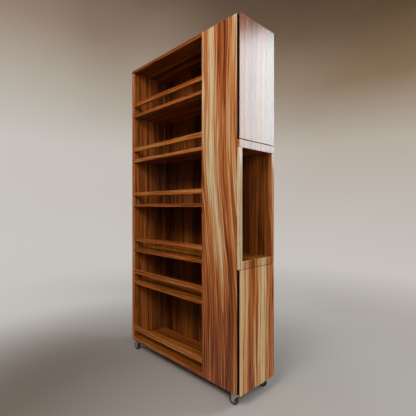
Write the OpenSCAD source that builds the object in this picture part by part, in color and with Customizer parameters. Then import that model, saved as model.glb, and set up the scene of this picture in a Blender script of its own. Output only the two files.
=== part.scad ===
// Rolling pantry cart: open shelves with guard rails, and a narrow tower with two doors
// and a niche at one end. It stands on four swivel casters.
// +Z is up, the origin is on the floor at the centre of the footprint, +X points to the
// door end, and -Y is the open long side.

/* [Body] */
// Length of the cart along X
cart_l = 1010; // [900:10:1200]
// Depth of the cart along Y
cart_d = 300; // [280:5:360]
// Height of the wooden body, without the casters
body_h = 1930; // [1850:10:2050]
// Length of the tower along X
tower_l = 276; // [260:1:320]

/* [Boards] */
// Thickness of shelves, top boards and bottom boards
board_t = 20; // [18:1:22]
// Thickness of the end panel and the tower panels
panel_t = 22; // [20:1:24]
// Thickness of the back panel
back_t = 12; // [9:1:12]
// Inset of the back panel from the rear edges
back_inset = 8; // [6:1:10]
// Size of the eased edges
ease = 1; // [0.5:0.1:1.2]

/* [Open shelves] */
// Height of the lowest shelf's top above the body's underside
low_shelf_top = 425; // [380:5:450]
// Height of the second lowest shelf's top above the body's underside
mid_shelf_top = 656; // [620:2:670]
// Distance from one upper shelf to the next
shelf_pitch = 318; // [310:1:330]

/* [Guard rails] */
// Gap between a shelf and the rail above it
rail_gap = 56; // [40:1:70]
// Height of a rail
rail_h = 26; // [22:1:34]
// Thickness of a rail
rail_t = 18; // [16:1:20]

/* [Doors and niche] */
// Thickness of the doors and of the niche frame
door_t = 16; // [16:0.5:18]
// Gap above and below a door
door_gap = 3; // [2:0.5:4]
// Gap between a closed door's back and the tower
back_gap = 0.8; // [0.8:0.1:1.2]
// Width of the front land of a door's finger edge
finger_land = 2; // [1.5:0.5:3]
// Height of the niche frame
niche_h = 658; // [600:1:720]
// Height of the niche frame's rails
niche_rail_h = 41; // [36:1:60]
// Thickness of the shelves inside the cupboards
inner_shelf_t = 16; // [15:1:18]

/* [Hinges] */
// Height of a hinge
hinge_h = 60; // [50:5:80]
// Distance from a door's end to the middle of its hinge
hinge_inset = 90; // [70:5:140]
// Width of a leaf, from the pin's axis
leaf_w = 16; // [15:0.5:17]
// Thickness of a leaf
leaf_t = 1.2; // [1:0.1:1.5]
// Outside radius of the knuckles
knuckle_r = 3.2; // [3:0.1:3.3]
// Radius of the hinge pin
hinge_pin_r = 1.6; // [1.4:0.1:1.7]
// Chamfer down the hinge corner, which the knuckles lie in
corner_cut = 6; // [6:0.5:7]

/* [Casters] */
// Height of a caster
caster_h = 70; // [70:1:76]
// Radius of a wheel
wheel_r = 25; // [23:0.5:25]
// Width of a tyre
wheel_w = 18; // [16:0.5:18]
// Distance from the swivel axis to the axle
caster_trail = 17; // [15:0.5:20]
// Distance from the cart's end to a swivel axis
caster_inset_x = 43; // [42:1:60]
// Distance from the cart's long side to a swivel axis
caster_inset_y = 26; // [26:1:40]
// Side of the square mounting plate
plate_w = 48; // [46:1:50]
// Thickness of the mounting plate
plate_t = 2.5; // [2:0.5:3]

/* [Fasteners] */
// Radius of the shelf dowels
shelf_dowel_r = 4; // [3:0.5:5]
// Radius of the rail dowels
rail_dowel_r = 3; // [2.5:0.5:4]
// Radius of a shelf pin
shelf_pin_r = 2.5; // [2.5:0.5:3]

/* [Hidden] */

$fn = 48;
// Clearance around a fixed fastener
fix_gap = 0.02;
// Radial clearance of a running pin or axle
run_gap = 0.05;
// How far cutting shapes reach past the surface they open
over = 1;

// Outer planes of the body
x0 = -cart_l / 2;
x1 = cart_l / 2;
y0 = -cart_d / 2;
y1 = cart_d / 2;
z0 = caster_h;
z1 = z0 + body_h;

// Open bays
bay_x0 = x0 + panel_t;
bay_x1 = x1 - tower_l;
bay_y1 = y1 - back_inset - back_t;
shelf_tops = [for (h = [mid_shelf_top + 3 * shelf_pitch, mid_shelf_top + 2 * shelf_pitch,
    mid_shelf_top + shelf_pitch, mid_shelf_top, low_shelf_top, board_t]) z0 + h];

// Tower
tower_x0 = bay_x1 + panel_t;
tower_y0 = y0 + panel_t;
tower_y1 = y1 - panel_t;
door_x = x1 - door_t;
tower_x1 = door_x - back_gap;
niche_z0 = z0 + (body_h - niche_h) / 2;
niche_z1 = niche_z0 + niche_h;
niche_floor = niche_z0 + niche_rail_h;
niche_ceiling = niche_z1 - niche_rail_h;
lower_door_z = [z0, niche_z0 - door_gap];
upper_door_z = [niche_z1 + door_gap, z1];
doors_z = [lower_door_z, upper_door_z];

// Dowels at the ends of the shelves and the rails
dowel_bite = 3;
dowel_y = [y0 + 60, bay_y1 - 40];
shelf_dowel_l = 30;
rail_dowel_l = 24;

// Shelves inside the cupboards, each on four pins, halfway up its door
inner_shelf_z = [for (d = doors_z) (d[0] + d[1]) / 2];
inner_shelf_x1 = tower_x1 - 24;
inner_shelf_gap = 1;
shelf_pin_x = [tower_x0 + 40, inner_shelf_x1 - 30];
shelf_pin_l = 16;

// Hinges
hinge_x = door_x - back_gap / 2;
hinge_y = y1 - knuckle_r - 0.4;
leaf_gap = 0.3;
leaf_fit = 0.1;
leaf_clear = 0.3;
knuckles = 5;
knuckle_h = hinge_h / knuckles;
knuckle_gap = 0.3;
relief_r = knuckle_r + 0.6;
relief_h = hinge_h + 8;
pin_head_r = 2.6;
pin_head_h = 1.2;
hinge_screw_y = hinge_y - 10;
hinge_screw_z = 17;
hinge_screw_r = 1.5;
hinge_screw_head_r = 2.8;
frame_screw_l = 16;
door_screw_l = 12;
hinge_z = [for (d = doors_z) each [d[0] + hinge_inset, d[1] - hinge_inset]];

// Catches on the tower's front panel, above the cupboards' shelves
catch_z = [for (h = inner_shelf_z) h + 60];
catch_w = 15;
catch_h = 40;
catch_l = 26;
catch_gap = 0.4;
strike_t = 1;
strike_margin = [1, 3];

// Casters
caster_x = cart_l / 2 - caster_inset_x;
caster_y = cart_d / 2 - caster_inset_y;
caster_places = [for (sx = [1, -1], sy = [-1, 1]) [sx * caster_x, sy * caster_y]];
plate_z = caster_h - plate_t;
plate_hole = plate_w / 2 - 7;
plate_corner_r = 5;
plate_screw_r = 2;
plate_screw_l = 16;
plate_head_r = [2.6, 3.8];
plate_head_h = 1.8;
race_r = 15;
race_split_z = plate_z - 5;
race_gap = 0.3;
crown_z = 53;
crown_t = 2.5;
kingpin_r = 4;
rivet_head_r = 6.5;
rivet_head_z = 50.6;
fork_in = wheel_w / 2 + 1.6;
fork_t = 2;
fork_boss_r = 7;
leg_front = 9;
axle_r = 2.9;
axle_over = 1;
nut_r = 5;
nut_h = 3.4;
tyre_shoulder = 3;
tyre_steps = 3;
hub_r = 18;
hub_boss_r = 7;
hub_dish_r = 13;

// ---- Building blocks ----

// A bar along Z, centred, with its four long edges chamfered
module bar(x, y, z) {
    a = x / 2;
    b = y / 2;
    linear_extrude(height = z, center = true) polygon([
        [a - ease, -b], [a, ease - b], [a, b - ease], [a - ease, b],
        [ease - a, b], [-a, b - ease], [-a, ease - b], [ease - a, -b]]);
}

// A board between two corners, with every edge eased
module board(lo, hi) {
    s = hi - lo;
    translate((lo + hi) / 2) intersection() {
        bar(s.x, s.y, s.z);
        rotate([90, 0, 0]) bar(s.x, s.z, s.y);
        rotate([0, 90, 0]) bar(s.z, s.y, s.x);
    }
}

// A cylinder along X from one place to another
module rod_x(x_from, x_to, y, z, r) {
    translate([x_from, y, z]) rotate([0, 90, 0]) cylinder(r = r, h = x_to - x_from);
}

// A cylinder along Y from one place to another
module rod_y(y_from, y_to, x, z, r) {
    translate([x, y_to, z]) rotate([90, 0, 0]) cylinder(r = r, h = y_to - y_from);
}

// A square with rounded corners, centred
module rounded_square(w, r) {
    square([w, w - 2 * r], center = true);
    square([w - 2 * r, w], center = true);
    for (sx = [-1, 1], sy = [-1, 1]) translate([sx * (w / 2 - r), sy * (w / 2 - r)]) circle(r);
}

// ---- Fasteners, also used to cut their own holes ----

// Dowels at both ends of one shelf or bottom board, whose top is at top_z
module shelf_dowels(top_z, grow = 0) {
    reach = shelf_dowel_l / 2 + grow;
    for (x = [bay_x0 + dowel_bite, bay_x1 - dowel_bite], y = dowel_y)
        rod_x(x - reach, x + reach, y, top_z - board_t / 2, shelf_dowel_r + grow);
}

// Dowels at both ends of the guard rail above a shelf
module rail_dowels(top_z, grow = 0) {
    reach = rail_dowel_l / 2 + grow;
    rail_mid_z = top_z + rail_gap + rail_h / 2;
    for (x = [bay_x0 + dowel_bite, bay_x1 - dowel_bite])
        rod_x(x - reach, x + reach, y0 + rail_t / 2, rail_mid_z, rail_dowel_r + grow);
}

// Every dowel of the open bays
module all_dowels(grow = 0) {
    for (top_z = shelf_tops) {
        shelf_dowels(top_z, grow);
        rail_dowels(top_z, grow);
    }
}

// The pins that carry the two cupboard shelves
module all_shelf_pins(grow = 0) {
    reach = shelf_pin_l / 2 + grow;
    for (z = inner_shelf_z, x = shelf_pin_x, y = [tower_y0, tower_y1])
        rod_y(y - reach, y + reach, x, z - shelf_pin_r, shelf_pin_r + grow);
}

// Countersunk screw with its head's face at x = 0, driven towards +X
module hinge_screw(length, grow = 0) {
    rod_x(0, length + grow, 0, 0, hinge_screw_r + grow);
    rotate([0, 90, 0])
        cylinder(r1 = hinge_screw_head_r + grow, r2 = hinge_screw_r + grow, h = leaf_t);
}

// Screws through the frame leaves of the hinges at these heights
module frame_leaf_screws(heights, grow = 0) {
    for (z = heights, s = [-1, 1])
        translate([hinge_x - leaf_gap, hinge_screw_y, z + s * hinge_screw_z])
            mirror([1, 0, 0]) hinge_screw(frame_screw_l, grow);
}

// Screws through the door leaves of the hinges at these heights
module door_leaf_screws(heights, grow = 0) {
    for (z = heights, s = [-1, 1])
        translate([hinge_x + leaf_gap, hinge_screw_y, z + s * hinge_screw_z])
            hinge_screw(door_screw_l, grow);
}

// Four screws up through every caster plate
module all_caster_screws(grow = 0) {
    for (p = caster_places, sx = [-1, 1], sy = [-1, 1])
        translate([p[0] + sx * plate_hole, p[1] + sy * plate_hole, plate_z]) {
            cylinder(r = plate_screw_r + grow, h = plate_screw_l + grow);
            translate([0, 0, -plate_head_h])
                cylinder(r1 = plate_head_r[0], r2 = plate_head_r[1], h = plate_head_h);
        }
}

// ---- Open bays ----

module left_end_panel() {
    color("sienna") difference() {
        board([x0, y0, z0], [bay_x0, y1, z1 - board_t]);
        all_dowels(fix_gap);
    }
}

module partition() {
    color("sienna") difference() {
        board([bay_x1, tower_y0, z0], [tower_x0, tower_y1, z1]);
        for (top_z = shelf_tops) shelf_dowels(top_z, fix_gap);
    }
}

module back_panel() {
    color("peru") board([bay_x0, bay_y1, z0 + board_t], [bay_x1, bay_y1 + back_t, z1 - board_t]);
}

module top_board() {
    color("sienna") board([x0, y0, z1 - board_t], [bay_x1, y1, z1]);
}

module bottom_board() {
    color("sienna") difference() {
        board([bay_x0, y0, z0], [bay_x1, y1, z0 + board_t]);
        shelf_dowels(z0 + board_t, fix_gap);
        all_caster_screws(fix_gap);
    }
}

// Shelf number i, counted from the top
module bay_shelf(i) {
    top_z = shelf_tops[i];
    color("peru") difference() {
        board([bay_x0, y0, top_z - board_t], [bay_x1, bay_y1, top_z]);
        shelf_dowels(top_z, fix_gap);
    }
}

// Guard rail above shelf number i, counted from the top
module guard_rail(i) {
    rail_z = shelf_tops[i] + rail_gap;
    color("peru") difference() {
        board([bay_x0, y0, rail_z], [bay_x1, y0 + rail_t, rail_z + rail_h]);
        rail_dowels(shelf_tops[i], fix_gap);
    }
}

module assembly_dowels() {
    color("burlywood") all_dowels();
}

// ---- Tower ----

module tower_front_panel() {
    color("sienna") difference() {
        board([bay_x1, y0, z0], [tower_x1, tower_y0, z1]);
        for (top_z = shelf_tops) rail_dowels(top_z, fix_gap);
        all_shelf_pins(fix_gap);
        all_caster_screws(fix_gap);
    }
}

// Clearance in the wood around the knuckles of the hinges at these heights
module knuckle_relief(heights) {
    for (z = heights)
        translate([hinge_x, hinge_y, z]) cylinder(r = relief_r, h = relief_h, center = true);
}

// Pockets for the hinge leaves at these heights, from one X to another
module leaf_pockets(heights, x_from, x_to) {
    for (z = heights)
        translate([x_from, hinge_y - leaf_w - leaf_fit, z - hinge_h / 2 - leaf_fit])
            cube([x_to - x_from, leaf_w, hinge_h + 2 * leaf_fit]);
}

module tower_rear_panel() {
    leaf_x = hinge_x - leaf_gap - leaf_t;
    color("sienna") difference() {
        board([bay_x1, tower_y1, z0], [tower_x1, y1, z1]);
        for (d = doors_z)
            translate([tower_x1, y1, d[0] - door_gap]) linear_extrude(d[1] - d[0] + 2 * door_gap)
                polygon([[over, -corner_cut - over], [over, over], [-corner_cut - over, over]]);
        knuckle_relief(hinge_z);
        leaf_pockets(hinge_z, leaf_x, tower_x1 + over);
        frame_leaf_screws(hinge_z, fix_gap);
        all_shelf_pins(fix_gap);
        all_caster_screws(fix_gap);
    }
}

module tower_top_board() {
    color("peru") board([tower_x0, tower_y0, z1 - board_t], [tower_x1, tower_y1, z1]);
}

module tower_bottom_board() {
    color("peru") difference() {
        board([tower_x0, tower_y0, z0], [tower_x1, tower_y1, z0 + board_t]);
        all_caster_screws(fix_gap);
    }
}

module niche_floor_board() {
    color("peru") board([tower_x0, tower_y0, niche_floor - board_t], [tower_x1, tower_y1, niche_floor]);
}

module niche_ceiling_board() {
    color("peru")
        board([tower_x0, tower_y0, niche_ceiling], [tower_x1, tower_y1, niche_ceiling + board_t]);
}

module niche_top_rail() {
    color("sandybrown") board([tower_x1, y0, niche_ceiling], [x1, y1, niche_z1]);
}

module niche_bottom_rail() {
    color("sandybrown") board([tower_x1, y0, niche_z0], [x1, y1, niche_floor]);
}

// Upright of the niche frame, from its low Y side
module niche_stile(y_from) {
    color("sandybrown")
        board([tower_x1, y_from, niche_floor], [x1, y_from + panel_t, niche_ceiling]);
}

// Shelf inside a cupboard, with its underside at height z
module cupboard_shelf(z) {
    color("peru") board([tower_x0 + inner_shelf_gap, tower_y0 + inner_shelf_gap, z],
        [inner_shelf_x1, tower_y1 - inner_shelf_gap, z + inner_shelf_t]);
}

module shelf_pins() {
    color("silver") all_shelf_pins();
}

module door_catches() {
    color("ivory") for (z = catch_z)
        board([tower_x1 - catch_l, tower_y0, z],
            [tower_x1 - catch_gap, tower_y0 + catch_w, z + catch_h]);
}

// ---- Doors ----

// A door's section across its height: a finger bevel at the near edge, and at the hinge
// corner the chamfer that makes room for the knuckles
module door_section() {
    bevel = door_t - finger_land;
    polygon([[x1, y0], [x1 - finger_land, y0], [door_x, y0 + bevel], [door_x, y1 - corner_cut],
        [door_x + corner_cut, y1], [x1, y1]]);
}

// A door that spans the heights in span
module door(span) {
    heights = [span[0] + hinge_inset, span[1] - hinge_inset];
    color("chocolate") difference() {
        intersection() {
            translate([0, 0, span[0]]) linear_extrude(span[1] - span[0]) door_section();
            board([door_x - 2 * ease, y0, span[0]], [x1, y1, span[1]]);
        }
        knuckle_relief(heights);
        leaf_pockets(heights, door_x - over, hinge_x + leaf_gap + leaf_t);
        door_leaf_screws(heights, fix_gap);
    }
}

// Steel plate on a door's back, which the catch at height z holds
module strike(z) {
    color("silver") translate([door_x - strike_t, tower_y0 + strike_margin[0], z + strike_margin[1]])
        cube([strike_t, catch_w - 2 * strike_margin[0], catch_h - 2 * strike_margin[1]]);
}

// ---- Hinges ----

// One leaf, centred at height z. side is -1 for the tower's leaf and 1 for the door's.
// Its knuckles are every second one, from number first.
module leaf(z, side, first) {
    difference() {
        union() {
            leaf_slab(z, side, hinge_h, leaf_w, knuckle_r + leaf_clear);
            for (k = [first:2:knuckles - 1]) {
                knuckle_z = z - hinge_h / 2 + (k + 0.5) * knuckle_h;
                leaf_slab(knuckle_z, side, knuckle_h - knuckle_gap, knuckle_r + leaf_clear + 0.1, 0);
                translate([hinge_x, hinge_y, knuckle_z])
                    cylinder(r = knuckle_r, h = knuckle_h - knuckle_gap, center = true);
            }
        }
        translate([hinge_x, hinge_y, z])
            cylinder(r = hinge_pin_r + run_gap, h = hinge_h + 2 * over, center = true);
        if (side < 0) frame_leaf_screws([z], fix_gap);
        if (side > 0) door_leaf_screws([z], fix_gap);
    }
}

// Flat stretch of a leaf, from one distance to another in front of the pin's axis
module leaf_slab(z, side, h, from, to) {
    x_in = hinge_x + side * leaf_gap;
    x_out = x_in + side * leaf_t;
    translate([min(x_in, x_out), hinge_y - from, z - h / 2]) cube([leaf_t, from - to, h]);
}

module hinge_frame_leaves() {
    color("silver") for (z = hinge_z) leaf(z, -1, 0);
}

// The leaves on the door that spans these heights
module door_leaves(span) {
    color("silver") for (z = [span[0] + hinge_inset, span[1] - hinge_inset]) leaf(z, 1, 1);
}

module hinge_pins() {
    color("gray") for (z = hinge_z) translate([hinge_x, hinge_y, z]) {
        cylinder(r = hinge_pin_r, h = hinge_h + pin_head_h, center = true);
        for (s = [-1, 1]) translate([0, 0, s * (hinge_h + pin_head_h) / 2])
            cylinder(r = pin_head_r, h = pin_head_h, center = true);
    }
}

module hinge_frame_screws() {
    color("gray") frame_leaf_screws(hinge_z);
}

// The screws in the leaves of the door that spans these heights
module door_screws(span) {
    color("gray") door_leaf_screws([span[0] + hinge_inset, span[1] - hinge_inset]);
}

// ---- Casters ----

// Mounting plates with the upper bearing race and the kingpin that the fork hangs on
module caster_plates() {
    color("gainsboro") difference() {
        for (p = caster_places) translate([p[0], p[1], 0]) {
            translate([0, 0, plate_z]) linear_extrude(plate_t)
                rounded_square(plate_w, plate_corner_r);
            translate([0, 0, race_split_z]) cylinder(r = race_r, h = plate_z - race_split_z);
            translate([0, 0, rivet_head_z]) cylinder(r = kingpin_r, h = plate_z - rivet_head_z);
            translate([0, 0, rivet_head_z])
                cylinder(r1 = rivet_head_r - 1, r2 = rivet_head_r, h = crown_z - race_gap - rivet_head_z);
        }
        all_caster_screws(fix_gap);
    }
}

module caster_screws() {
    color("gray") all_caster_screws();
}

// The side view of a fork's leg, with the swivel axis at x = 0 and the floor at y = 0
module leg_outline() {
    top = crown_z + crown_t;
    boss_x = -caster_trail;
    polygon([[leg_front, top], [boss_x - fork_boss_r, top], [boss_x - fork_boss_r, wheel_r],
        [boss_x + fork_boss_r, wheel_r - 1], [leg_front, top - 6]]);
    translate([boss_x, wheel_r]) circle(fork_boss_r);
}

// Swivel fork number i: crown, lower bearing race and two legs
module fork(i) {
    p = caster_places[i];
    width = 2 * (fork_in + fork_t);
    boss_x = -caster_trail;
    color("silver") translate([p[0], p[1], 0]) difference() {
        union() {
            translate([0, 0, crown_z]) cylinder(r = race_r, h = crown_t);
            translate([boss_x - fork_boss_r, -width / 2, crown_z])
                cube([fork_boss_r - boss_x, width, crown_t]);
            translate([0, 0, crown_z]) cylinder(r = race_r - 1, h = race_split_z - race_gap - crown_z);
            for (y = [-fork_in, fork_in + fork_t])
                translate([0, y, 0]) rotate([90, 0, 0]) linear_extrude(fork_t) leg_outline();
        }
        cylinder(r = kingpin_r + run_gap, h = caster_h);
        rod_y(-width, width, boss_x, wheel_r, axle_r + fix_gap);
    }
}

// Axle bolt number i with its hexagonal head and nut
module axle(i) {
    p = caster_places[i];
    reach = fork_in + fork_t;
    color("gray") translate([p[0] - caster_trail, p[1], 0]) {
        rod_y(-reach - axle_over, reach + axle_over, 0, wheel_r, axle_r);
        for (y = [-reach, reach + nut_h])
            translate([0, y, wheel_r]) rotate([90, 0, 0]) cylinder(r = nut_r, h = nut_h, $fn = 6);
    }
}

// Turns a profile of radius and width round the axle of caster number i, from its top
module on_axle(i) {
    p = caster_places[i];
    translate([p[0] - caster_trail, p[1], wheel_r]) rotate([90, 0, 0]) rotate([0, 0, 90])
        rotate_extrude() children();
}

// Hub number i: a dished disc with a boss and a rim
module hub(i) {
    bore = axle_r + run_gap;
    boss = wheel_w / 2 + 1.2;
    rim = wheel_w / 2 - 1;
    web = 4;
    color("dimgray") on_axle(i) polygon([[bore, -boss], [hub_boss_r, -boss], [hub_boss_r, -web],
        [hub_dish_r, -web], [hub_dish_r + 1, -rim], [hub_r - fix_gap, -rim], [hub_r - fix_gap, rim],
        [hub_dish_r + 1, rim], [hub_dish_r, web], [hub_boss_r, web], [hub_boss_r, boss], [bore, boss]]);
}

// Tyre number i: a rubber ring whose shoulders are rounded off in a few flats
module tyre(i) {
    half = wheel_w / 2;
    edge = [for (k = [0:tyre_steps]) let (a = 90 * k / tyre_steps)
        [wheel_r - tyre_shoulder * (1 - cos(a)), half - tyre_shoulder * (1 - sin(a))]];
    color("black") on_axle(i) polygon(concat(
        [[hub_r, -half]], [for (k = [tyre_steps:-1:0]) [edge[k][0], -edge[k][1]]],
        edge, [[hub_r, half]]));
}

left_end_panel();
partition();
tower_front_panel();
tower_rear_panel();
back_panel();
top_board();
tower_top_board();
bottom_board();
tower_bottom_board();
bay_shelf(0);  // shelf_1
bay_shelf(1);  // shelf_2
bay_shelf(2);  // shelf_3
bay_shelf(3);  // shelf_4
bay_shelf(4);  // shelf_5
guard_rail(0);  // guard_rail_1
guard_rail(1);  // guard_rail_2
guard_rail(2);  // guard_rail_3
guard_rail(3);  // guard_rail_4
guard_rail(4);  // guard_rail_5
guard_rail(5);  // guard_rail_6
niche_floor_board();
niche_ceiling_board();
niche_top_rail();
niche_bottom_rail();
niche_stile(y0);  // niche_near_stile
niche_stile(tower_y1);  // niche_far_stile
cupboard_shelf(inner_shelf_z[1]);  // upper_cupboard_shelf
cupboard_shelf(inner_shelf_z[0]);  // lower_cupboard_shelf
shelf_pins();
assembly_dowels();
door(upper_door_z);  // upper_door
door(lower_door_z);  // lower_door
hinge_frame_leaves();
door_leaves(upper_door_z);  // upper_door_leaves
door_leaves(lower_door_z);  // lower_door_leaves
hinge_pins();
hinge_frame_screws();
door_screws(upper_door_z);  // upper_door_screws
door_screws(lower_door_z);  // lower_door_screws
door_catches();
strike(catch_z[1]);  // upper_strike
strike(catch_z[0]);  // lower_strike
caster_plates();
caster_screws();
fork(0);  // fork_front_right
fork(1);  // fork_rear_right
fork(2);  // fork_front_left
fork(3);  // fork_rear_left
axle(0);  // axle_front_right
axle(1);  // axle_rear_right
axle(2);  // axle_front_left
axle(3);  // axle_rear_left
hub(0);  // hub_front_right
hub(1);  // hub_rear_right
hub(2);  // hub_front_left
hub(3);  // hub_rear_left
tyre(0);  // tyre_front_right
tyre(1);  // tyre_rear_right
tyre(2);  // tyre_front_left
tyre(3);  // tyre_rear_left
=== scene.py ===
"""Rolling pantry cart: materials, fine pieces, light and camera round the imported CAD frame."""
import math
import random

import bmesh
import bpy
from mathutils import Matrix, Vector


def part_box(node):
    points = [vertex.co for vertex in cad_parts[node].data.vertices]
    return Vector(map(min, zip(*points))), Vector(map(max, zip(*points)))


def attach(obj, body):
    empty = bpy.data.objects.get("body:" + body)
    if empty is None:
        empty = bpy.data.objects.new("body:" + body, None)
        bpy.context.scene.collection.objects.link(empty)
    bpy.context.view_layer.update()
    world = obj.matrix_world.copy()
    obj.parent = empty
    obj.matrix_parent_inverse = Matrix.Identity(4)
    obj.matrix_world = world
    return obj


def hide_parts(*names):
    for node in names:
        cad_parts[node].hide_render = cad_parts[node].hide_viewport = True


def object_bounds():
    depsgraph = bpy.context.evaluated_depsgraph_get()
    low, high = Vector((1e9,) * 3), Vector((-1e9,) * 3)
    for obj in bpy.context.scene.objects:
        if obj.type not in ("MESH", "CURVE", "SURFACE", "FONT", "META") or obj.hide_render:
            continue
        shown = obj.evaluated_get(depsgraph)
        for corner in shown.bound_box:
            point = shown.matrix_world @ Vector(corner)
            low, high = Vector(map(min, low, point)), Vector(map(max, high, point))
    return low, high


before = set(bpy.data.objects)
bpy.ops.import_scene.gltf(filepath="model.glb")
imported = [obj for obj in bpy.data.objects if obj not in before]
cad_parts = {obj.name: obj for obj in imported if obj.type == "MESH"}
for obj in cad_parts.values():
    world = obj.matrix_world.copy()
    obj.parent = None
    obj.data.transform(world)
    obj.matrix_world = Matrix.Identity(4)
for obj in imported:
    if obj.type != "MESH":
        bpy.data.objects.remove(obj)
cad_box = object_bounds()

X, Y, Z = 0, 1, 2
LOW, HIGH = cad_box
CORNERS = ("front_right", "rear_right", "front_left", "rear_left")


# ---------------------------------------------------------------- node shorthand


class Graph:
    """A material's node tree, with one short call for each kind of node."""

    def __init__(self, name):
        self.material = bpy.data.materials.new(name)
        self.material.use_nodes = True
        self.tree = self.material.node_tree
        self.tree.nodes.clear()

    def node(self, kind, **settings):
        made = self.tree.nodes.new(kind)
        for key, value in settings.items():
            setattr(made, key, value)
        return made

    def feed(self, socket, value):
        """Links a socket to another node's output, or sets it to a plain value."""
        if isinstance(value, bpy.types.NodeSocket):
            self.tree.links.new(value, socket)
        elif value is not None:
            socket.default_value = value

    def math(self, operation, a, b=None, c=None):
        made = self.node("ShaderNodeMath", operation=operation)
        for socket, value in zip(made.inputs, (a, b, c)):
            self.feed(socket, value)
        return made.outputs[0]

    def add(self, a, b):
        return self.math("ADD", a, b)

    def mul(self, a, b):
        return self.math("MULTIPLY", a, b)

    def mul_add(self, a, b, c):
        return self.math("MULTIPLY_ADD", a, b, c)

    def position(self):
        """The three coordinates of the shaded point in the row frame at rest."""
        coords = self.node("ShaderNodeTexCoord").outputs["Object"]
        split = self.node("ShaderNodeSeparateXYZ")
        self.feed(split.inputs[0], coords)
        return [split.outputs[i] for i in range(3)]

    def vector(self, x, y, z):
        made = self.node("ShaderNodeCombineXYZ")
        for socket, value in zip(made.inputs, (x, y, z)):
            self.feed(socket, value)
        return made.outputs[0]

    def noise(self, where, scale, detail, roughness, distortion=0.0):
        made = self.node("ShaderNodeTexNoise", noise_dimensions="3D")
        self.feed(made.inputs["Vector"], where)
        made.inputs["Scale"].default_value = scale
        made.inputs["Detail"].default_value = detail
        made.inputs["Roughness"].default_value = roughness
        made.inputs["Distortion"].default_value = distortion
        return made.outputs["Fac"]

    def ramp(self, factor, stops):
        """A colour ramp. Each stop is a place and a grey or an (r, g, b)."""
        made = self.node("ShaderNodeValToRGB")
        self.feed(made.inputs[0], factor)
        elements = made.color_ramp.elements
        while len(elements) < len(stops):
            elements.new(0.5)
        for element, (place, value) in zip(elements, stops):
            element.position = place
            rgb = value if isinstance(value, tuple) else (value, value, value)
            element.color = (*rgb, 1.0)
        return made.outputs["Color"]

    def smooth_step(self, value, start, end):
        made = self.node("ShaderNodeMapRange", interpolation_type="SMOOTHSTEP")
        self.feed(made.inputs["Value"], value)
        made.inputs["From Min"].default_value = start
        made.inputs["From Max"].default_value = end
        return made.outputs["Result"]

    def mix(self, factor, a, b, blend="MIX"):
        made = self.node("ShaderNodeMix", data_type="RGBA", blend_type=blend)
        self.feed(made.inputs[0], factor)
        for socket, value in zip(made.inputs[6:8], (a, b)):
            self.feed(socket, (*value, 1.0) if isinstance(value, tuple) else value)
        return made.outputs[2]

    def bump(self, height, distance, strength):
        made = self.node("ShaderNodeBump")
        made.inputs["Strength"].default_value = strength
        made.inputs["Distance"].default_value = distance
        self.feed(made.inputs["Height"], height)
        return made.outputs["Normal"]

    def finish(self, **inputs):
        """Ends the tree in a principled surface. Underscores in the names stand for spaces."""
        surface = self.node("ShaderNodeBsdfPrincipled")
        for key, value in inputs.items():
            socket = surface.inputs[key.replace("_", " ")]
            if isinstance(value, tuple) and len(value) == 3:
                value = (*value, 1.0)
            self.feed(socket, value)
        out = self.node("ShaderNodeOutputMaterial")
        self.feed(out.inputs["Surface"], surface.outputs["BSDF"])
        return self.material


def depth_inside(g, p):
    """How far a point lies inside the box round the whole cart."""
    depth = g.math("SUBTRACT", p[X], LOW[X])
    for axis in (Y, Z):
        depth = g.math("MINIMUM", depth, g.math("SUBTRACT", p[axis], LOW[axis]))
    for axis in (X, Y, Z):
        depth = g.math("MINIMUM", depth, g.math("SUBTRACT", HIGH[axis], p[axis]))
    return depth


def edge_distance(g, p, box):
    """Distance from a point on a box-shaped board to the board's nearest edge."""
    lo, hi = box
    d = [
        g.math("MINIMUM", g.math("SUBTRACT", p[i], lo[i]), g.math("SUBTRACT", hi[i], p[i]))
        for i in range(3)
    ]
    smaller = g.math("MINIMUM", d[0], d[1])
    larger = g.math("MAXIMUM", d[0], d[1])
    return g.math("MAXIMUM", smaller, g.math("MINIMUM", larger, d[2]))


# ---------------------------------------------------------------- wood

# Tone 0 is the darkest heartwood line and tone 1 the palest sapwood
WOOD_COLOURS = [
    (0.00, (0.045, 0.011, 0.004)),
    (0.20, (0.140, 0.038, 0.012)),
    (0.38, (0.250, 0.070, 0.021)),
    (0.52, (0.360, 0.108, 0.029)),
    (0.64, (0.440, 0.170, 0.056)),
    (0.76, (0.490, 0.275, 0.120)),
    (0.88, (0.530, 0.390, 0.215)),
    (1.00, (0.570, 0.500, 0.350)),
]

# The painted shade of the finger grooves, the red veil over every board, and what multiplies the colour
# of the faces inside the cart, as part of their painted shade
GROOVE_PAINTED_SHADE = (0.042, 0.013, 0.005)
RED_VEIL = (0.36, 0.12, 0.035)
INSIDE_SHADE_TINT = (1.0, 1.12, 0.78)

# How far each feature moves the tone
WIDE_STREAK = 0.60
NARROW_STREAK = 0.30
FINE_STREAK = 0.16
GROWTH_LINE = -0.28
PORE = -0.08
# Painted shade: how much darker the faces inside the cart are
INSIDE_PAINTED_SHADE = -0.08
RUBBED_EDGE = 0.16

# Tones across the tower's front panel at its top, from beyond its bay edge to its door edge
TOP_BANDS = [
    (-0.35, 0.55), (-0.05, 0.60), (0.00, 0.84), (0.09, 0.82), (0.12, 0.46), (0.155, 0.52),
    (0.18, 0.90), (0.31, 0.92), (0.36, 0.80), (0.39, 0.60), (0.45, 0.78), (0.49, 0.44),
    (0.58, 0.38), (0.66, 0.24), (0.70, 0.32), (0.73, 0.54), (0.79, 0.66), (0.83, 0.56),
    (0.88, 0.84), (1.00, 0.80),
]

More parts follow.
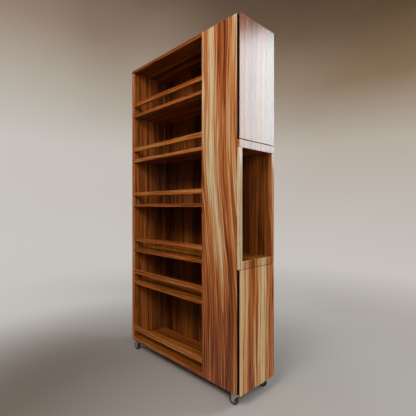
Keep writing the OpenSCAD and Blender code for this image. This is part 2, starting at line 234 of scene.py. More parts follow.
# The same panel at half its height
MIDDLE_BANDS = [
    (-0.35, 0.54), (-0.17, 0.58), (-0.08, 0.66), (0.00, 0.60), (0.05, 0.73), (0.09, 0.62),
    (0.14, 0.68), (0.17, 0.88), (0.30, 0.92), (0.36, 0.78), (0.42, 0.65), (0.50, 0.64),
    (0.58, 0.56), (0.66, 0.48), (0.72, 0.62), (0.78, 0.67), (0.85, 0.62), (0.92, 0.71),
    (1.00, 0.66),
]

# The same panel near the floor, where the figure has closed up, and darker, partly the wood's own tone and
# partly painted shade
FOOT_SHADED_BANDS = [
    (-0.35, 0.52), (-0.26, 0.56), (-0.22, 0.40), (-0.12, 0.50), (-0.05, 0.42), (0.06, 0.46),
    (0.12, 0.36), (0.20, 0.40), (0.27, 0.58), (0.31, 0.42), (0.40, 0.50), (0.46, 0.32),
    (0.52, 0.38), (0.58, 0.56), (0.64, 0.44), (0.72, 0.52), (1.00, 0.44),
]

# Tones across the door face, from its near edge to its hinge edge
DOOR_BANDS = [
    (0.00, 0.90), (0.10, 0.88), (0.14, 0.60), (0.19, 0.84), (0.25, 0.74), (0.28, 0.40),
    (0.35, 0.38), (0.42, 0.47), (0.47, 0.66), (0.52, 0.56), (0.57, 0.82), (0.61, 0.84),
    (0.65, 0.98), (0.73, 0.95), (0.76, 0.40), (0.80, 0.70), (0.85, 0.66), (0.88, 0.44),
    (0.95, 0.50), (0.98, 0.70), (1.00, 0.70),
]

# The same across the door's foot, darker as painted shade, where the lamps light it less
DOOR_FOOT_SHADE_BANDS = [(place, tone - 0.10) for place, tone in DOOR_BANDS]

# Tones across the upper door, a quieter and redder board
UPPER_DOOR_BANDS = [
    (0.00, 0.64), (0.05, 0.48), (0.08, 0.62), (0.13, 0.36), (0.18, 0.56), (0.26, 0.44),
    (0.31, 0.28), (0.37, 0.50), (0.45, 0.34), (0.50, 0.54), (0.60, 0.38), (0.66, 0.60),
    (0.74, 0.40), (0.80, 0.52), (0.88, 0.30), (1.00, 0.46),
]


def band_tone(g, u, bands):
    """The tone at place u across a board, by a list of (place, tone)."""
    start, end = bands[0][0], bands[-1][0]
    stops = [((place - start) / (end - start), tone) for place, tone in bands]
    return g.ramp(g.mul_add(u, 1 / (end - start), -start / (end - start)), stops)


def random_bands(seed, low, high, count):
    """Tones across a board whose bands no one has picked by eye."""
    draw = random.Random(seed)
    places = sorted(draw.uniform(0.02, 0.98) for _ in range(count))
    return [(place, draw.uniform(low, high)) for place in places]


def wood(
    name, box, along, across, bands, seed, shade=0.0, streaks=1.0, figure=1.0,
    drift=(), below=(), stained=(), tint=(1.0, 1.0, 1.0), gloss=0.35,
):
    """Striped wood for one board.

    box is the board's own box, along and across are the axes of the grain and of the bands,
    seed picks the grain, and shade is added to every tone. streaks and figure are the strength
    of the wide streaks and of the narrow ones. drift is (height where it ends, height where it
    starts, how far the bands have moved by then as a share of the width). below lists the bands
    that take over further down, each as (height where they begin, height where they rule, bands).
    stained is (axis, sign) of the faces painted nearly black, a painted shade as in a finger groove.
    tint multiplies the colour, and gloss is the strength of the lacquer's reflection.
    """
    g = Graph(name)
    p = g.position()
    third = 3 - along - across
    lo, hi = box
    width = hi[across] - lo[across]
    shift = seed * 3.7

    def grain_noise(along_scale, across_scale, detail, offset, distortion=0.0, place=p[across]):
        """Noise drawn out along the grain."""
        parts = [None, None, None]
        parts[along] = g.mul_add(p[along], along_scale, shift + offset)
        parts[across] = g.mul_add(place, across_scale, shift * 1.3)
        parts[third] = g.mul_add(p[third], across_scale, offset)
        return g.noise(g.vector(*parts), 1.0, detail, 0.55, distortion)

    # Where the point lies across the bands, bent by slow noise along the board
    u = g.mul_add(p[across], 1 / width, -lo[across] / width)
    u = g.mul_add(p[third], 0.35 / width, g.add(u, -lo[third] * 0.35 / width))
    u = g.mul_add(grain_noise(0.9, 3.0, 2, 11.0), 0.16, g.add(u, -0.08))
    u = g.mul_add(grain_noise(3.5, 14.0, 2, 5.0), 0.05, g.add(u, -0.025))
    if drift:
        end, start, amount = drift
        u = g.mul_add(g.smooth_step(p[along], end, start), amount, g.add(u, -amount))
    tone = band_tone(g, u, bands)
    for start, end, lower_bands in below:
        share = g.smooth_step(p[along], start, end)
        tone = g.mul_add(share, g.math("SUBTRACT", band_tone(g, u, lower_bands), tone), tone)

    # Streaks of three widths that run with the bands, dark growth lines, then the pores
    flow = g.mul(u, width)
    wide = grain_noise(1.3, 46.0, 3, 21.0, 0.5, flow)
    narrow = g.smooth_step(grain_noise(2.2, 130.0, 2, 31.0, 0.3, flow), 0.34, 0.66)
    fine = g.smooth_step(grain_noise(6.0, 420.0, 2, 41.0, 0.0, flow), 0.30, 0.70)
    ridge = g.math("ABSOLUTE", g.add(grain_noise(0.8, 40.0, 1, 61.0, 0.4, flow), -0.5))
    lines = g.smooth_step(ridge, 0.034, 0.006)
    pores = g.smooth_step(grain_noise(38.0, 1500.0, 1, 51.0, 0.0, flow), 0.60, 0.72)
    tone = g.mul_add(g.add(wide, -0.5), WIDE_STREAK * streaks, tone)
    tone = g.mul_add(g.add(narrow, -0.5), NARROW_STREAK * figure, tone)
    tone = g.mul_add(g.add(fine, -0.5), FINE_STREAK, tone)
    tone = g.mul_add(lines, GROWTH_LINE * streaks, tone)
    tone = g.mul_add(pores, PORE, g.add(tone, shade))

    # Painted shade: the faces inside the cart are darker, duller and more golden, for the shade in the bays
    inner = g.smooth_step(depth_inside(g, p), 0.004, 0.010)
    tone = g.mul_add(inner, INSIDE_PAINTED_SHADE, tone)

    # Cut ends of the board are darker and speckled, and their streaks are fainter
    split = g.node("ShaderNodeSeparateXYZ")
    g.feed(split.inputs[0], g.node("ShaderNodeTexCoord").outputs["Normal"])
    normal = split.outputs
    on_end = g.smooth_step(g.math("ABSOLUTE", normal[along]), 0.80, 0.95)
    end_noise = g.noise(g.vector(*p), 420.0, 3, 0.6)
    end_tone = g.mul_add(end_noise, 0.35, g.mul_add(tone, 0.45, -0.06))
    tone = g.mul_add(on_end, g.math("SUBTRACT", end_tone, tone), tone)

    # Handled edges are rubbed a little paler and duller
    rub_noise = g.noise(g.vector(*p), 26.0, 4, 0.65)
    near_edge = g.smooth_step(edge_distance(g, p, box), 0.0034, 0.0004)
    rub = g.mul(near_edge, g.smooth_step(rub_noise, 0.42, 0.66))
    tone = g.mul_add(rub, RUBBED_EDGE, tone)

    colour = g.mix(1.0, g.ramp(tone, WOOD_COLOURS), tint, "MULTIPLY")
    # The inside faces' painted shade also tints them more golden
    colour = g.mix(inner, colour, g.mix(1.0, colour, INSIDE_SHADE_TINT, "MULTIPLY"))
    patch = g.noise(g.vector(*p), 3.1, 2, 0.5)
    colour = g.mix(g.mul(patch, 0.30), colour, RED_VEIL, "SOFT_LIGHT")
    # Painted shade: the faces of a finger groove are painted nearly black, where the groove lies in shadow
    if stained:
        axis, sign = stained
        groove_shade_share = g.smooth_step(g.mul(normal[axis], sign), 0.2, 0.5)
        colour = g.mix(groove_shade_share, colour, GROOVE_PAINTED_SHADE)
    smear = g.noise(g.vector(*p), 9.0, 5, 0.7)
    roughness = g.mul_add(smear, 0.10, 0.15)
    roughness = g.mul_add(rub, 0.12, g.mul_add(pores, 0.15, roughness))
    height = g.mul_add(pores, -0.8, g.mul_add(fine, 0.5, g.mul(narrow, 0.4)))
    return g.finish(
        Base_Color=colour,
        Roughness=roughness,
        # The inside faces' painted shade also dulls their reflection
        Specular_IOR_Level=g.mul_add(inner, -0.15, gloss),
        Normal=g.bump(height, 0.00015, 0.4),
    )


# ---------------------------------------------------------------- other materials


def plated_steel(name, colour=(0.56, 0.57, 0.58), base_roughness=0.30):
    """Zinc-plated steel with faint crystals, drawn lines and dull patches."""
    g = Graph(name)
    p = g.position()
    where = g.vector(*p)
    lines = g.noise(g.vector(g.mul(p[X], 260.0), g.mul(p[Y], 260.0), g.mul(p[Z], 2600.0)), 1.0, 2, 0.5)
    clouds = g.noise(where, 150.0, 4, 0.6)
    crystals = g.node("ShaderNodeTexVoronoi")
    crystals.inputs["Scale"].default_value = 420.0
    g.feed(crystals.inputs["Vector"], where)
    tint = g.mix(clouds, colour, tuple(0.72 * c for c in colour))
    tint = g.mix(g.mul(crystals.outputs["Distance"], 0.25), tint, (0.80, 0.80, 0.76))
    roughness = g.mul_add(clouds, 0.22, g.mul_add(lines, 0.08, base_roughness - 0.12))
    return g.finish(
        Base_Color=tint,
        Metallic=0.92,
        Roughness=roughness,
        Normal=g.bump(lines, 0.00006, 0.4),
    )


def moulded_plastic(name, colour):
    """Moulded plastic with a fine spark-eroded skin and a little dust."""
    g = Graph(name)
    where = g.vector(*g.position())
    skin = g.noise(where, 1900.0, 2, 0.6)
    dust = g.noise(where, 60.0, 5, 0.7)
    dusted = tuple(0.8 * c + 0.06 for c in colour)
    tint = g.mix(g.smooth_step(dust, 0.45, 0.75), colour, dusted)
    return g.finish(
        Base_Color=tint,
        Roughness=g.mul_add(dust, 0.2, 0.32),
        Normal=g.bump(skin, 0.00008, 0.35),
    )


def tyre_rubber(name):
    """Black rubber, dusty and scuffed grey where it rolls."""
    g = Graph(name)
    where = g.vector(*g.position())
    grit = g.noise(where, 900.0, 3, 0.7)
    dust = g.noise(where, 75.0, 5, 0.7)
    tint = g.mix(g.smooth_step(dust, 0.45, 0.72), (0.010, 0.010, 0.011), (0.050, 0.046, 0.042))
    return g.finish(
        Base_Color=tint,
        Roughness=g.mul_add(grit, 0.2, 0.62),
        Normal=g.bump(grit, 0.00015, 0.5),
    )


def beech(name):
    """Pale turned beech for the dowels."""
    g = Graph(name)
    p = g.position()
    fibres = g.noise(g.vector(g.mul(p[X], 40.0), g.mul(p[Y], 1200.0), g.mul(p[Z], 1200.0)), 1.0, 3, 0.6)
    tint = g.mix(fibres, (0.42, 0.27, 0.14), (0.62, 0.46, 0.28))
    return g.finish(Base_Color=tint, Roughness=0.6, Normal=g.bump(fibres, 0.0001, 0.5))


def dress(node, material):
    """Gives a CAD node one material."""
    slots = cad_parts[node].data.materials
    slots.clear()
    slots.append(material)


# ---------------------------------------------------------------- materials on the CAD nodes


def face_box(node):
    """A door's or frame piece's box, widened to the whole door face so that the bands line up."""
    lo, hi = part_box(node)
    near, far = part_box("lower_door")[0][Y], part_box("upper_door")[1][Y]
    return Vector((lo[X], near, lo[Z])), Vector((hi[X], far, hi[Z]))


def dress_board(node, box, along, across, bands, seed, **finish):
    """Gives a CAD board its own striped wood."""
    dress(node, wood("wood_" + node, box, along, across, bands, seed, **finish))


# Seeds of the grain. The doors and the niche frame share one, so that their grain lines up
PANEL_SEED = 1
DOOR_SEED = 2

# The faces on the two sides of the groove beside a door, which get the groove's painted shade
FINGER_EDGE = (Y, -1)
GROOVE_WALL = (X, 1)

# The figure drifts sideways between these heights, and changes twice on its way down
panel_drift = (0.40, 1.40, 0.32)
panel_below = [(1.80, 1.45, MIDDLE_BANDS), (0.84, 0.42, FOOT_SHADED_BANDS)]
dress_board(
    "tower_front_panel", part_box("tower_front_panel"), Z, X, TOP_BANDS, PANEL_SEED,
    figure=1.35, drift=panel_drift, below=panel_below, stained=GROOVE_WALL,
)
# Painted shade: the upper door and the rail above the niche are painted a shade darker, so that less diffuse
# light shows under the softbox's reflection
for node in ("upper_door", "niche_top_rail"):
    dress_board(
        node, face_box(node), Z, Y, UPPER_DOOR_BANDS, DOOR_SEED, shade=-0.08, streaks=0.45,
        figure=0.4, stained=FINGER_EDGE if node == "upper_door" else (), gloss=0.42,
    )
for node in ("niche_bottom_rail", "niche_near_stile", "niche_far_stile"):
    dress_board(node, face_box(node), Z, Y, DOOR_BANDS, DOOR_SEED, shade=0.03)
# Painted light and shade: the lower door is painted brighter than the niche frame's same bands, and darker at
# its foot
dress_board(
    "lower_door", face_box("lower_door"), Z, Y, DOOR_BANDS, DOOR_SEED, shade=0.10,
    below=[(0.55, 0.05, DOOR_FOOT_SHADE_BANDS)], stained=FINGER_EDGE, tint=(1.08, 1.00, 0.88), gloss=0.25,
)

# Each upright board, with the axis that its bands run across
UPRIGHT_BOARDS = {"left_end_panel": Y, "partition": Y, "tower_rear_panel": X, "back_panel": X}
for number, (node, across) in enumerate(UPRIGHT_BOARDS.items()):
    bands = random_bands(40 + number, 0.16, 0.56, 18)
    # The end panel's front edge is paler, and the back panel is painted darker at its left and paler towards
    # the tower
    if node == "left_end_panel":
        front_edge = [(-0.10, 0.62), (0.03, 0.58), (0.10, 0.36)]
        bands = front_edge + [(place, tone) for place, tone in bands if place > 0.14]
    # Painted shade and light: the back panel's gradient evens out the lamps, which leave its tower end in
    # shade
    if node == "back_panel":
        bands = [(place, tone + 0.30 * (place - 0.45)) for place, tone in bands]
    dress_board(node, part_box(node), Z, across, bands, 7 + number, streaks=0.7, figure=0.7)

LEVEL_BOARDS = ["top_board", "tower_top_board", "bottom_board", "tower_bottom_board", "niche_floor_board"]
LEVEL_BOARDS += ["niche_ceiling_board", "upper_cupboard_shelf", "lower_cupboard_shelf"]
LEVEL_BOARDS += [f"shelf_{i}" for i in range(1, 6)]
for number, node in enumerate(LEVEL_BOARDS):
    bands = random_bands(70 + number, 0.36, 0.64, 12)
    dress_board(node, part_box(node), X, Y, bands, 15 + number, streaks=0.7, figure=0.8, tint=(1.0, 1.0, 0.75))
for number in range(1, 7):
    node = f"guard_rail_{number}"
    bands = random_bands(90 + number, 0.46, 0.62, 6)
    dress_board(node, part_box(node), X, Z, bands, 30 + number, streaks=0.8, tint=(1.0, 0.98, 0.72))

steel = plated_steel("zinc_steel")
dark_steel = plated_steel("screw_steel", (0.40, 0.40, 0.40), 0.34)
hub_plastic = moulded_plastic("hub_plastic", (0.17, 0.165, 0.16))
catch_plastic = moulded_plastic("catch_plastic", (0.10, 0.045, 0.025))
rubber = tyre_rubber("tyre_rubber")
beech_wood = beech("beech")
dress("door_catches", catch_plastic)
PLAIN_STEEL = ["hinge_frame_leaves", "upper_door_leaves", "lower_door_leaves", "upper_strike"]
PLAIN_STEEL += ["lower_strike", "caster_plates"]
PLAIN_STEEL += ["fork_" + corner for corner in CORNERS]
for node in PLAIN_STEEL:
    dress(node, steel)


# ---------------------------------------------------------------- turned and moulded pieces

MM = 0.001
SHARP_ANGLE = math.radians(28)
ALONG_Z = Matrix.Identity(4)
ALONG_X = Matrix.Rotation(math.pi / 2, 4, "Y")
ALONG_Y = Matrix.Rotation(-math.pi / 2, 4, "X")


def solids(node):
    """The lowest and highest corners of each separate solid in a CAD node."""
    bm = bmesh.new()
    bm.from_mesh(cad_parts[node].data)
    bmesh.ops.remove_doubles(bm, verts=bm.verts, dist=1e-6)
    left = set(bm.verts)
    boxes = []
    while left:
        edge_of_fill = [left.pop()]
        points = []
        while edge_of_fill:
            vert = edge_of_fill.pop()
            points.append(vert.co.copy())
            near = {edge.other_vert(vert) for edge in vert.link_edges} & left
            left -= near
            edge_of_fill += near
        lo = Vector([min(p[i] for p in points) for i in range(3)])
        hi = Vector([max(p[i] for p in points) for i in range(3)])
        boxes.append((lo, hi))
    bm.free()
    return sorted(boxes, key=lambda box: tuple(box[0]))


def add_turned(bm, profile, matrix, spin, shape=None, hollow=False):
    """Adds one closed solid turned round its own Z axis, in millimetres.

    profile lists (radius, height) in order, up the outside, and a hollow solid's profile
    runs back down its bore. shape(radius, height, turn) may move a point of the profile.
    """
    rings = []
    for radius, height in profile:
        ring = []
        for k in range(spin):
            turn = 2 * math.pi * k / spin
            r, h = shape(radius, height, turn) if shape else (radius, height)
            ring.append(bm.verts.new(matrix @ (MM * Vector((r * math.cos(turn), r * math.sin(turn), h)))))
        rings.append(ring)
    pairs = list(zip(rings, rings[1:]))
    if hollow:
        pairs.append((rings[-1], rings[0]))
    for low, high in pairs:
        for k in range(spin):
            bm.faces.new((low[k - 1], low[k], high[k], high[k - 1]))
    if not hollow:
        bm.faces.new(rings[0][::-1])
        bm.faces.new(rings[-1])


def arc(centre_r, centre_h, radius, start, end, steps):
    """Points of a profile along an arc, between two angles in degrees from straight out."""
    angles = [math.radians(start + (end - start) * k / steps) for k in range(steps + 1)]
    return [(centre_r + radius * math.cos(a), centre_h + radius * math.sin(a)) for a in angles]


def make_piece(bm, name, material, slot, body, *nodes):
    """Turns a bmesh into a piece that stands for CAD nodes and rides on a body."""
    mesh = bpy.data.meshes.new(name)
    bmesh.ops.recalc_face_normals(bm, faces=bm.faces)
    for face in bm.faces:
        face.smooth = True
    bm.to_mesh(mesh)
    bm.free()
    mesh.set_sharp_from_angle(angle=SHARP_ANGLE)
    mesh.materials.append(material)
    made = bpy.data.objects.new(name, mesh)
    bpy.context.scene.collection.objects.link(made)
    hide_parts(*nodes)
    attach(made, body)


def tyre_profile(inner, outer, half):
    """Ring of rubber: bead, slightly hollow side wall, round shoulder and crowned tread."""
    shoulder = 3.0
    side = [(inner, half - 0.3), (inner + 0.3, half), (inner + 1.4, half), (inner + 1.8, half - 0.35)]
    side.append((outer - shoulder - 0.5, half - 0.35))
    crown = outer - 0.12
    tread = arc(crown - shoulder, half - shoulder, shoulder, 82, 0, 8)
    tread += [(outer - 0.04, half * 0.35), (outer - 0.04, 0.35), (outer, 0.12)]
    upper = side + tread
    return [(r, -h) for r, h in upper] + [(r, h) for r, h in reversed(upper)]


def hub_profile(bore, outer, boss, rim):
    """Half of a hub's outline, from its bore out to its rim, each (radius, height, rib height).

    boss and rim are half the hub's width at its middle and at its rim.
    """
    web, rib = 3.4, rim - 0.9
    boss_part = [(bore, boss - 0.5, 0), (bore + 0.5, boss, 0), (6.4, boss, 0), (7.0, boss - 0.6, 0)]
    boss_part.append((7.2, rib + 0.4, 0))
    web_part = [(7.3, rib - 0.2, rib), (7.6, web + 1.0, rib), (8.2, web + 0.2, rib), (9.0, web, rib)]
    web_part += [(10.4, web, rib), (11.8, web, rib), (12.8, web + 0.2, rib), (13.4, web + 1.0, rib)]
    web_part.append((13.7, rib - 0.2, rib))
    rim_part = [(13.9, rim - 0.5, 0), (14.4, rim, 0), (outer - 0.6, rim, 0), (outer, rim - 0.6, 0)]
    return boss_part + web_part + rim_part


def ribbed_hub(bm, bore, outer, boss, rim, matrix):
    """Moulded hub with a boss, a dished web on both sides and radial ribs."""
    ribs, rib_half, slope = 6, 0.9, 0.7
    half = hub_profile(bore, outer, boss, rim)
    rib_at = {(r, h): rib for r, h, rib in half}

    def lift(radius, height, turn):
        rib = rib_at[(radius, abs(height))]
        pitch = 2 * math.pi / ribs
        off = radius * abs(math.sin((turn + pitch / 2) % pitch - pitch / 2))
        share = min(1.0, max(0.0, (rib_half + slope - off) / slope))
        lifted = abs(height) + share * max(0.0, rib - abs(height))
        return radius, math.copysign(lifted, height)

    outline = [(r, h) for r, h, _ in half]
    loop = [(r, -h) for r, h in outline] + outline[::-1]
    add_turned(bm, loop, matrix, 144, lift, hollow=True)


def hexagon(corner_radius, lowest, highest):
    """A shape for add_turned that cuts six flats between two distances from the middle."""

    def cut(radius, height, turn):
        if lowest <= abs(height) <= highest:
            sixth = math.pi / 3
            off = turn % sixth - sixth / 2
            flat = corner_radius * math.cos(sixth / 2) / math.cos(off)
            radius = min(radius, flat)
        return radius, height

    return cut


def axle_bolt(bm, end, matrix):
    """Bolt with a chamfered hexagon head and a lock nut with a nylon collar. end is half its length."""
    shaft, corner, face, nut_h = 2.9, 5.0, 4.45, 3.4
    reach = end - nut_h
    profile = [(0.4, -end), (face, -end), (corner, -end + 0.35), (corner, -reach - 0.2), (face, -reach)]
    profile += [(shaft, -reach), (shaft, reach), (face, reach), (corner, reach + 0.2), (corner, end - 1.0)]
    profile += [(face, end - 0.8), (3.9, end - 0.7), (3.7, end - 0.1), (3.5, end), (2.6, end)]
    profile += [(2.5, end - 0.5), (2.1, end - 0.4), (0.4, end - 0.35)]
    add_turned(bm, profile, matrix, 72, hexagon(corner, reach, end))


def screw_blank(head, shank_radius, length):
    """A screw without its recess. head lists (radius, height) up to where the thread begins."""
    root, pitch, step, tip = 0.72 * shank_radius, 1.5, 0.3, 3.0
    body = list(head)
    height = head[-1][1] + step
    while height < length:
        body.append((shank_radius * min(1.0, 0.12 + (length - height) / tip), height))
        height += step
    body.append((0.15, length))
    first_turn = head[-1][1] + 2 * step

    def thread(radius, height, turn):
        if height > first_turn:
            phase = (height / pitch - turn / (2 * math.pi)) % 1.0
            ridge = max(0.0, 1.0 - 3.2 * abs(phase - 0.5))
            radius *= (root + (shank_radius - root) * ridge) / shank_radius
        return radius, height

    bm = bmesh.new()
    add_turned(bm, body, ALONG_Z, 24, thread)
    return bm


def cross_recess(head):
    """A pointed cross to cut from a screw's head, wide at the head's face and narrow below."""
    arm, thick, depth = 0.62 * head[1][0], 0.42, 1.3
    face = head[0][1]
    outline = [(arm, thick), (thick, thick), (thick, arm), (-thick, arm), (-thick, thick), (-arm, thick)]
    outline += [(-x, -y) for x, y in outline]
    bm = bmesh.new()
    levels = ((face - 0.5, 1.1), (face + depth, 0.55))
    low, high = [[bm.verts.new(MM * Vector((k * x, k * y, h))) for x, y in outline] for h, k in levels]
    bm.faces.new(low)
    bm.faces.new(high)
    for k in range(len(outline)):
        bm.faces.new((low[k - 1], low[k], high[k], high[k - 1]))
    return bm


def loose_object(bm):
    """An object made from a bmesh, which lives only until a boolean is done."""
    bmesh.ops.recalc_face_normals(bm, faces=bm.faces)
    mesh = bpy.data.meshes.new("screw_stock")
    bm.to_mesh(mesh)
    bm.free()
    made = bpy.data.objects.new("screw_stock", mesh)
    bpy.context.scene.collection.objects.link(made)
    return made


def wood_screw_mesh(head, shank_radius, length):
    """One screw that points up, with a helical thread and a cross recess cut in its head."""
    blank = loose_object(screw_blank(head, shank_radius, length))
    cutter = loose_object(cross_recess(head))
    cut = blank.modifiers.new("recess", "BOOLEAN")
    cut.operation = "DIFFERENCE"
    cut.solver = "EXACT"
    cut.object = cutter
    graph = bpy.context.evaluated_depsgraph_get()
    result = bpy.data.meshes.new_from_object(blank.evaluated_get(graph))
    bpy.data.objects.remove(cutter)
    bpy.data.objects.remove(blank)
    return result


def place_copies(bm, mesh, matrices):
    """Adds a copy of a mesh to bm at each matrix."""
    for matrix in matrices:
        copy = mesh.copy()
        copy.transform(matrix)
        bm.from_mesh(copy)
        bpy.data.meshes.remove(copy)


def at(point, axis=ALONG_Z):
    """The matrix that puts a turned shape's middle at a point, along an axis."""
    return Matrix.Translation(point) @ axis


def middle(lo, hi):
    """The middle of a box."""
    return (lo + hi) / 2


def half_size(lo, hi):
    """Half of a box's size along each axis, in millimetres."""
    return (hi - lo) / 2 / MM


def caster_wheels():
    """Tyre, ribbed hub and axle bolt of each caster, in place of the plain turned ones."""
    hub_bore = 2.95
    for corner in CORNERS:
        wheel, fork = "wheel_" + corner, "swivel_" + corner
        tyre = half_size(*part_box("tyre_" + corner))
        hub = half_size(*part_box("hub_" + corner))
        bolt = half_size(*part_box("axle_" + corner))
        matrix = at(middle(*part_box("tyre_" + corner)), ALONG_Y)

        bm = bmesh.new()
        add_turned(bm, tyre_profile(hub.z + 0.1, tyre.z, tyre.y), matrix, 96, hollow=True)
        make_piece(bm, "rubber_tyre_" + corner, rubber, "tyre_rubber", wheel, "tyre_" + corner)
        bm = bmesh.new()
        ribbed_hub(bm, hub_bore, hub.z, hub.y, tyre.y - 1.0, matrix)
        make_piece(bm, "ribbed_hub_" + corner, hub_plastic, "hub_plastic", wheel, "hub_" + corner)
        bm = bmesh.new()
        axle_bolt(bm, bolt.y, matrix)
        make_piece(bm, "axle_bolt_" + corner, dark_steel, "plated_steel", fork, "axle_" + corner)


def caster_screws():
    """Pan-head screws driven up through the caster plates."""
    screws = solids("caster_screws")
    half = half_size(*screws[0])
    head_h, head_r = 1.8, half.x
    pan = [(0.3, -head_h), (0.55 * head_r, -head_h), (0.68 * head_r, -0.93 * head_h)]
    pan += [(0.82 * head_r, -0.75 * head_h), (0.94 * head_r, -0.45 * head_h), (head_r, 0.0), (2.0, 0.02)]
    screw = wood_screw_mesh(pan, 2.0, 2 * half.z - head_h)
    heads = [Vector((*middle(lo, hi).xy, lo.z + head_h * MM)) for lo, hi in screws]
    bm = bmesh.new()
    place_copies(bm, screw, [at(head) for head in heads])
    make_piece(bm, "caster_wood_screws", dark_steel, "plated_steel", "root", "caster_screws")


def hinge_screws(node, body, way):
    """Countersunk screws of one set of hinge leaves, driven towards -X or +X by way's sign."""
    screws = solids(node)
    half = half_size(*screws[0])
    head_r = half.z
    flat = [(0.3, 0.0), (0.97 * head_r, 0.0), (head_r, 0.06), (1.5, 1.2)]
    screw = wood_screw_mesh(flat, 1.5, 2 * half.x)
    turn = ALONG_X if way > 0 else ALONG_X.inverted()
    places = []
    for lo, hi in screws:
        face = lo.x if way > 0 else hi.x
        places.append(at(Vector((face, *middle(lo, hi).yz)), turn))
    bm = bmesh.new()
    place_copies(bm, screw, places)
    make_piece(bm, "countersunk_" + node, dark_steel, "plated_steel", body, node)


def mirrored(end):
    """A whole profile from its upper half, which ends near the axis."""
    return [(r, -h) for r, h in reversed(end)] + end


def hinge_pins():
    """Hinge pins with domed heads at both ends."""
    pin, cap = 1.6, 1.2
    bm = bmesh.new()
    for lo, hi in solids("hinge_pins"):
        half = half_size(lo, hi)
        head, top = half.x, half.z
        end = [(pin, top - cap), (head, top - cap), (head, top - 0.8), (0.85 * head, top - 0.3)]
        end += [(0.5 * head, top - 0.04), (0.2, top)]
        add_turned(bm, mirrored(end), at(middle(lo, hi)), 32)
    make_piece(bm, "domed_hinge_pins", dark_steel, "plated_steel", "root", "hinge_pins")


def shelf_pins():
    """Shelf pins with rounded ends and a fine groove round the middle."""
    bm = bmesh.new()
    for lo, hi in solids("shelf_pins"):
        half = half_size(lo, hi)
        r, top = half.x, half.y
        end = [(r - 0.3, 0.2), (r, 0.45), (r, top - 0.8), (r - 0.25, top - 0.25), (r - 0.8, top), (0.2, top)]
        add_turned(bm, mirrored(end), at(middle(lo, hi), ALONG_Y), 32)
    make_piece(bm, "turned_shelf_pins", steel, "plated_steel", "root", "shelf_pins")


def dowels():
    """Fluted dowels with chamfered ends."""

    def flutes(radius, height, turn):
        return radius * (1.0 - 0.035 * (1 + math.cos(16 * turn))), height

    bm = bmesh.new()
    for lo, hi in solids("assembly_dowels"):
        half = half_size(lo, hi)
        r, top = half.z, half.x
        end = [(r, top - 1.2), (r - 0.9, top - 0.1), (r - 1.2, top), (0.3, top)]
        add_turned(bm, mirrored(end), at(middle(lo, hi), ALONG_X), 64, flutes)
    make_piece(bm, "fluted_dowels", beech_wood, "dowel_wood", "root", "assembly_dowels")


caster_wheels()
caster_screws()
hinge_screws("hinge_frame_screws", "root", -1)
hinge_screws("upper_door_screws", "upper_door", 1)
hinge_screws("lower_door_screws", "lower_door", 1)
hinge_pins()
shelf_pins()
dowels()


# ---------------------------------------------------------------- stage, light and camera


def studio_material():
    """Pale paper: a floor round the cart with a painted shadow, and further out a backdrop whose glow, seen
    only by the camera, is painted light.
    """
    g = Graph("studio_paper")
    p = g.position()
    where = g.vector(*p)

    # Near the cart the floor is paper with a painted shadow, and from there out the backdrop's painted glow
    # takes over
    dx, dy = g.add(p[X], -0.2), g.add(p[Y], 0.5)
    radius = g.math("SQRT", g.add(g.mul(dx, dx), g.mul(dy, dy)))
    far = g.smooth_step(radius, 0.6, 2.3)
    across = g.add(p[X], p[Y])
    # Painted shadow: the floor is darker towards the left front, where the cart's shadow falls
    floor = g.mix(g.smooth_step(across, -1.7, 0.3), (0.19, 0.16, 0.135), (0.385, 0.36, 0.34))

    # The backdrop's glow by height, at the left and at the right of the camera's view, darker towards the top
    height = g.mul(p[Z], 1 / 6.0)
    left = g.ramp(height, [(0.0, (0.555, 0.535, 0.505)), (0.40, (0.555, 0.525, 0.495)),
                           (0.62, (0.425, 0.385, 0.325)), (0.84, (0.275, 0.20, 0.15)),
                           (1.0, (0.18, 0.12, 0.085))])
    right = g.ramp(height, [(0.0, (0.545, 0.515, 0.495)), (0.40, (0.445, 0.395, 0.335)),
                            (0.62, (0.215, 0.14, 0.08)), (0.84, (0.085, 0.050, 0.022)),
                            (1.0, (0.045, 0.025, 0.010))])
    # Painted shadow: near the cart the glow on the right is a darker grey
    right = g.mix(g.smooth_step(radius, 1.8, 4.8), (0.28, 0.26, 0.25), right)
    side = g.mul_add(across, 0.07, 0.5)
    side = g.mul_add(g.add(g.noise(where, 0.4, 2, 0.5), -0.5), 0.5, side)
    backdrop = g.mix(g.smooth_step(side, 0.0, 1.0), left, right)
    # The glow is painted light, which only camera rays see
    seen = g.node("ShaderNodeLightPath").outputs["Is Camera Ray"]
    fibre = g.noise(where, 600.0, 2, 0.6)
    return g.finish(
        Base_Color=g.mix(far, floor, (0.065, 0.055, 0.045)),
        Roughness=0.9,
        Specular_IOR_Level=0.1,
        Normal=g.bump(fibre, 0.0002, 0.2),
        Emission_Color=backdrop,
        Emission_Strength=g.mul(far, seen),
    )


def studio():
    """A round sweep of paper: flat floor, a wide curve, then a wall on every side."""
    flat, bend, top, spin, steps = 4.2, 1.6, 7.0, 96, 12
    outline = [(flat, 0.0)]
    for i in range(1, steps + 1):
        turn = math.pi / 2 * i / steps
        outline.append((flat + bend * math.sin(turn), bend * (1 - math.cos(turn))))
    outline.append((flat + bend, top))
    mesh = bpy.data.meshes.new("studio_sweep")
    bm = bmesh.new()
    turns = [2 * math.pi * k / spin for k in range(spin)]
    rings = [[bm.verts.new((r * math.cos(t), r * math.sin(t), h)) for t in turns] for r, h in outline]
    bm.faces.new(rings[0])
    for inner, outer in zip(rings, rings[1:]):
        for k in range(spin):
            bm.faces.new((inner[k], inner[k - 1], outer[k - 1], outer[k]))
    for face in bm.faces:
        face.smooth = True
    bm.to_mesh(mesh)
    bm.free()
    sweep = bpy.data.objects.new("studio_sweep", mesh)
    bpy.context.scene.collection.objects.link(sweep)
    mesh.materials.append(studio_material())


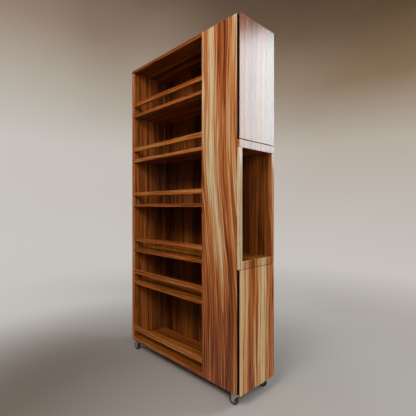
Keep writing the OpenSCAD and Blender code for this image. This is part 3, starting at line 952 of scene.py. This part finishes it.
def area_light(name, place, target, size, watts, colour):
    """A softbox at a place, turned to face a target."""
    data = bpy.data.lights.new(name, "AREA")
    data.shape = "RECTANGLE"
    data.size, data.size_y = size
    data.energy = watts
    data.color = colour
    made = bpy.data.objects.new(name, data)
    made.location = place
    made.rotation_mode = "QUATERNION"
    made.rotation_quaternion = (Vector(target) - Vector(place)).to_track_quat("-Z", "Y")
    bpy.context.scene.collection.objects.link(made)


def lights():
    """A tall softbox that the upper door mirrors, a high key, a fill from the doors' side, and sky."""
    area_light("door_softbox", (2.55, 3.0, 2.76), (0.5, 0.0, 1.6), (1.4, 2.0), 106.0, (0.85, 0.97, 1.0))
    area_light("key", (0.9, -2.7, 3.2), (0.0, -0.15, 1.2), (1.6, 1.2), 92.0, (1.0, 0.95, 0.88))
    area_light("fill", (3.3, -1.7, 1.9), (0.3, 0.0, 0.8), (1.8, 1.8), 60.0, (1.0, 0.98, 0.95))
    world = bpy.data.worlds.new("studio_sky")
    world.use_nodes = True
    nodes, links = world.node_tree.nodes, world.node_tree.links
    seen = nodes.new("ShaderNodeLightPath")
    tint = nodes.new("ShaderNodeMix")
    tint.data_type = "RGBA"
    light_given, colour_seen = tint.inputs[6:8]
    light_given.default_value = (0.40, 0.384, 0.368, 1.0)
    colour_seen.default_value = (0.10, 0.065, 0.045, 1.0)
    links.new(seen.outputs["Is Camera Ray"], tint.inputs[0])
    links.new(tint.outputs[2], nodes["Background"].inputs["Color"])
    bpy.context.scene.world = world


def camera():
    """Eye at the middle of the cart's height, off the corner between the open side and the doors."""
    azimuth = math.radians(45.75)
    tilt = math.radians(-0.11)
    data = bpy.data.cameras.new("camera")
    data.sensor_width = 36.0
    data.lens = 28.14
    made = bpy.data.objects.new("camera", data)
    made.location = (1.559, -1.397, 1.021)
    made.rotation_euler = (math.pi / 2 + tilt, 0.0, azimuth)
    bpy.context.scene.collection.objects.link(made)
    bpy.context.scene.camera = made


studio()
lights()
camera()
bpy.context.scene.view_settings.view_transform = "Standard"
